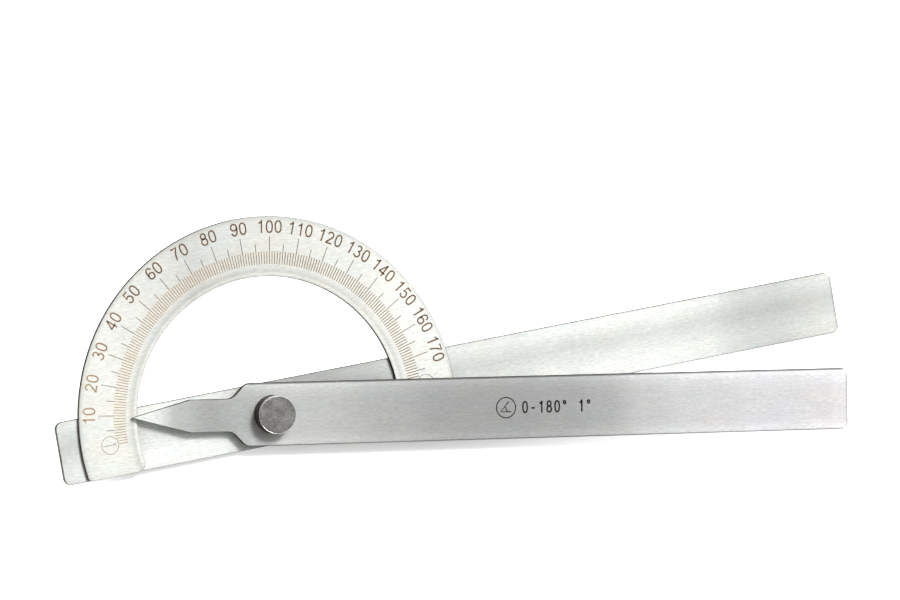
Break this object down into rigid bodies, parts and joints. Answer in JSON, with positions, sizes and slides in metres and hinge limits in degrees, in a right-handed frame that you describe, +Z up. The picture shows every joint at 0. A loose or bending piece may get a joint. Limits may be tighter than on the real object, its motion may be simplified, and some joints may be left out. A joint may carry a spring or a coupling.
{
  "type": "arm protractor",
  "caption": "Steel arm protractor: straight base arm with a half-circle degree scale, and a swinging pointer arm held by a round clamp knob.",
  "frame": {"origin": "on the pivot axis, at the underside of the stud's head", "axes": "+X along the base arm towards its long end, +Y towards the scale's 90 degree line, +Z up along the pivot axis towards the knob"},
  "size_m": [0.2669, 0.1036, 0.0127],
  "materials": {
    "arm_steel": "lengthwise brushed, slightly stained",
    "scale_steel": "bright satin with laser-marked scale",
    "rivet_steel": "ground flush",
    "knob_steel": "rough, dull grey",
    "marking": "laser-marked, brown"
  },
  "bodies": {
    "base": {"base_arm": "arm_steel", "scale_arc": "scale_steel", "rivet_zero": "rivet_steel", "rivet_half": "rivet_steel", "pivot_stud": "knob_steel", "spacer_washer": "rivet_steel"},
    "pointer": {"pointer_arm": "arm_steel", "friction_washer": "rivet_steel"},
    "knob": {"clamp_knob": "knob_steel"}
  },
  "joints": [
    {"name": "pointer_swing", "type": "hinge", "parent": "base", "child": "pointer", "pos_m": [0, 0, 0.005], "axis": [0, 0, 1], "continuous": true},
    {"name": "knob_turn", "type": "hinge", "parent": "base", "child": "knob", "pos_m": [0, 0, 0.0095], "axis": [0, 0, 1], "range_deg": [0, 120]}
  ]
}
